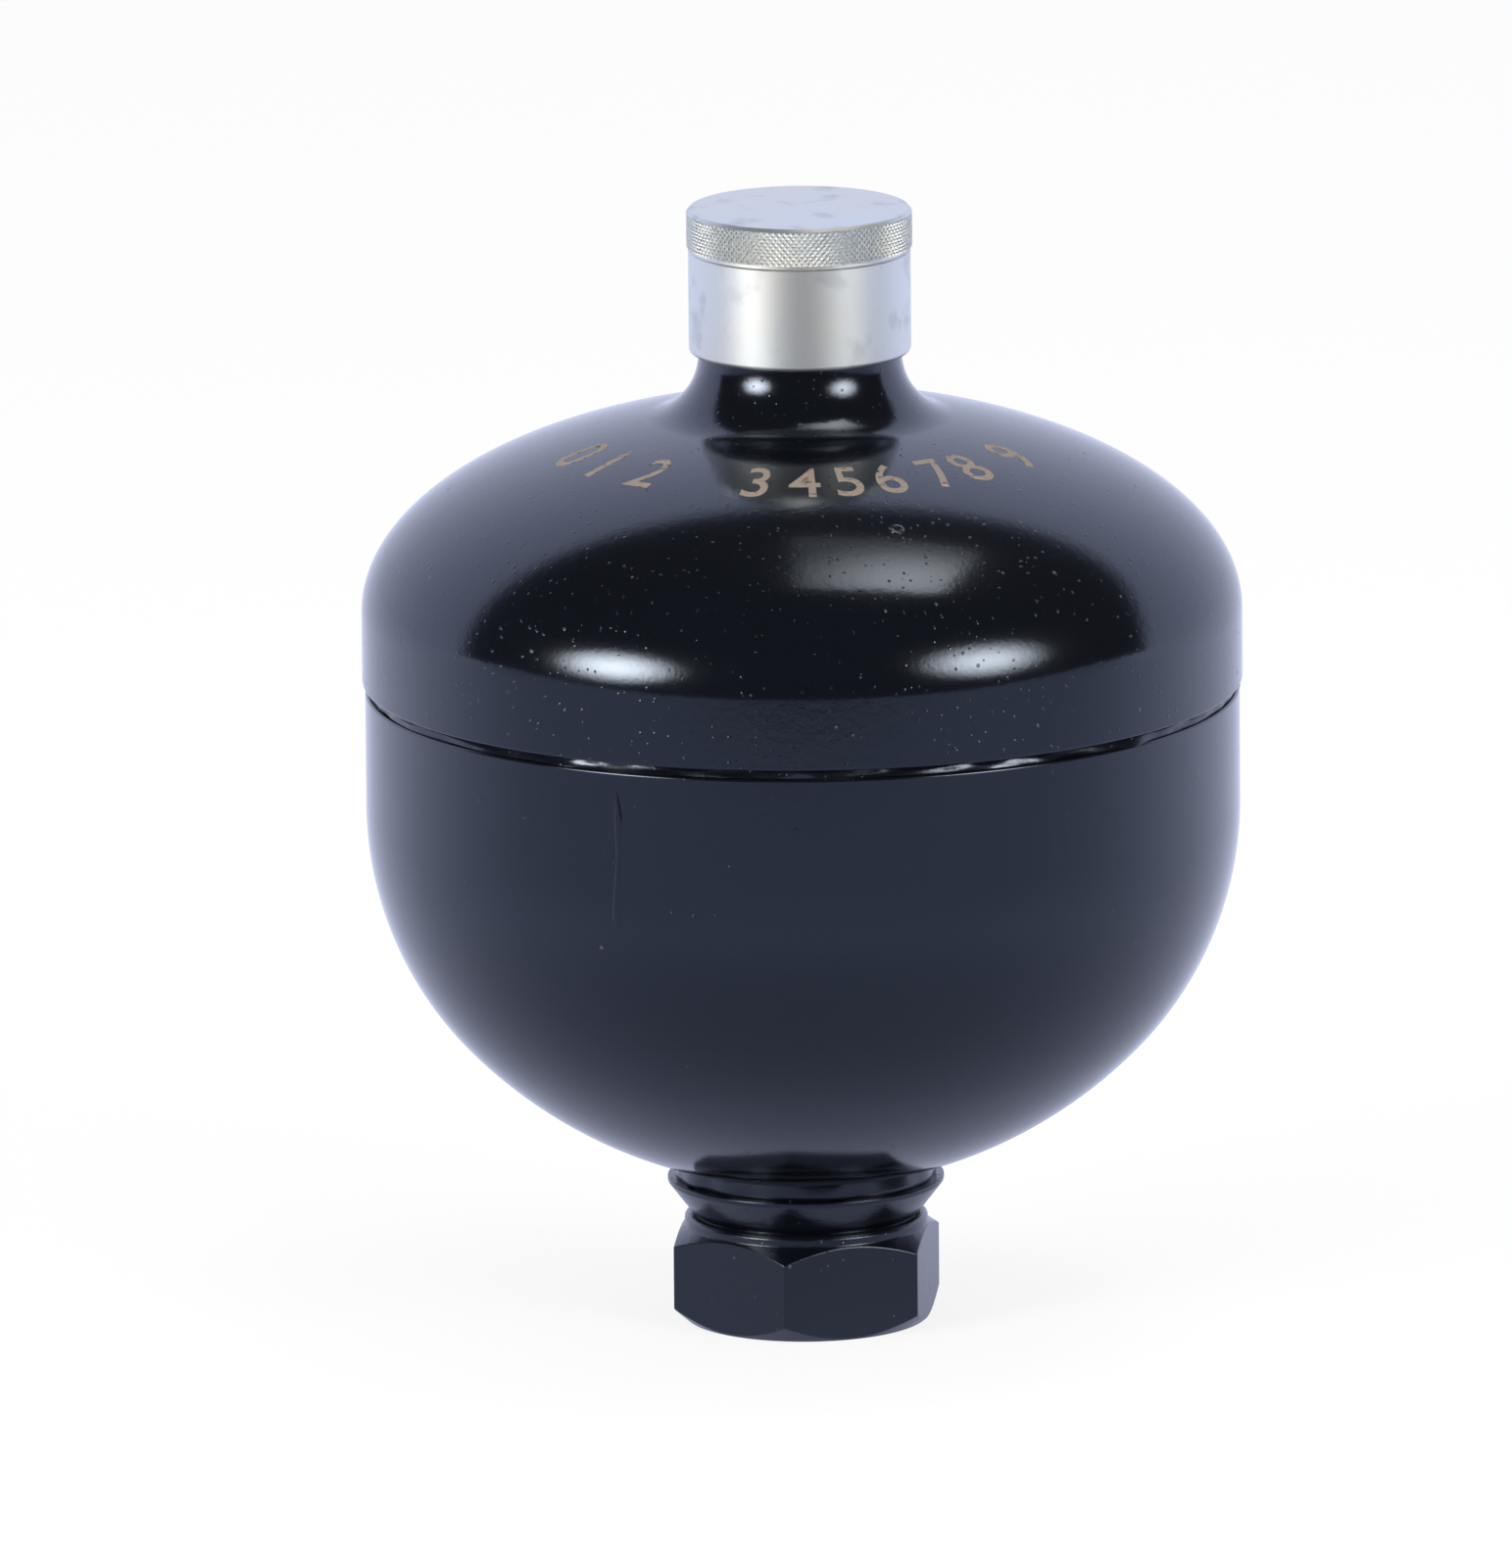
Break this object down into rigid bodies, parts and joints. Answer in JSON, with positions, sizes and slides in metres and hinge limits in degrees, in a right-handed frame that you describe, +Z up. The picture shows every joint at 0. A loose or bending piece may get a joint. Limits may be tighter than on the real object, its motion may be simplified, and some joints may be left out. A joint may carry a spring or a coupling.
{
  "type": "diaphragm accumulator",
  "caption": "Welded diaphragm accumulator: domed gas half with a knurled screw cap, deeper oil bowl below the seam, hexagon port at the foot, clamped rubber diaphragm and closing button inside.",
  "frame": {"origin": "centre of the fluid port's sealing face, which is the foot that the accumulator stands on", "axes": "+Z runs up the axis from the fluid port to the protective cap; the hexagon's front corner lies 9 degrees from -Y towards -X"},
  "size_m": [0.121, 0.121, 0.1558],
  "materials": {
    "painted_shell": "gloss black paint over deep-drawn steel, slight orange peel",
    "painted_port": "gloss black paint over machined steel",
    "weld_metal": "rough weld bead under black paint",
    "zinc_plate": "bright zinc plate, knurled and turned",
    "bare_steel": "bare turned steel",
    "nitrile": "matt black nitrile rubber"
  },
  "bodies": {
    "vessel": {"upper_shell": "painted_shell", "lower_shell": "painted_shell", "seam_weld": "weld_metal", "backing_ring": "bare_steel", "clamp_ring": "bare_steel", "diaphragm": "nitrile", "port_adapter": "painted_port", "port_weld": "weld_metal", "charging_screw": "bare_steel", "seal_lip": "nitrile", "seal_washer": "bare_steel"},
    "cap_lift": {"cap_gasket": "nitrile"},
    "cap": {"protective_cap": "zinc_plate"},
    "button": {"closing_button": "bare_steel"}
  },
  "joints": [
    {"name": "cap_rise", "type": "slide", "parent": "vessel", "child": "cap_lift", "axis": [0, 0, 1], "range_m": [0, 0.012]},
    {"name": "cap_turn", "type": "hinge", "parent": "cap_lift", "child": "cap", "pos_m": [0, 0, 0.145], "axis": [0, 0, 1], "range_deg": [0, 2880]},
    {"name": "button_lift", "type": "slide", "parent": "vessel", "child": "button", "axis": [0, 0, 1], "range_m": [0, 0.052], "stiffness_N_per_m": 20, "springref_m": -0.02, "deforming": ["diaphragm"]}
  ],
  "couplings": [
    {"joint": "cap_rise", "follows": "cap_turn", "m_per_rad": 0.00023873}
  ]
}
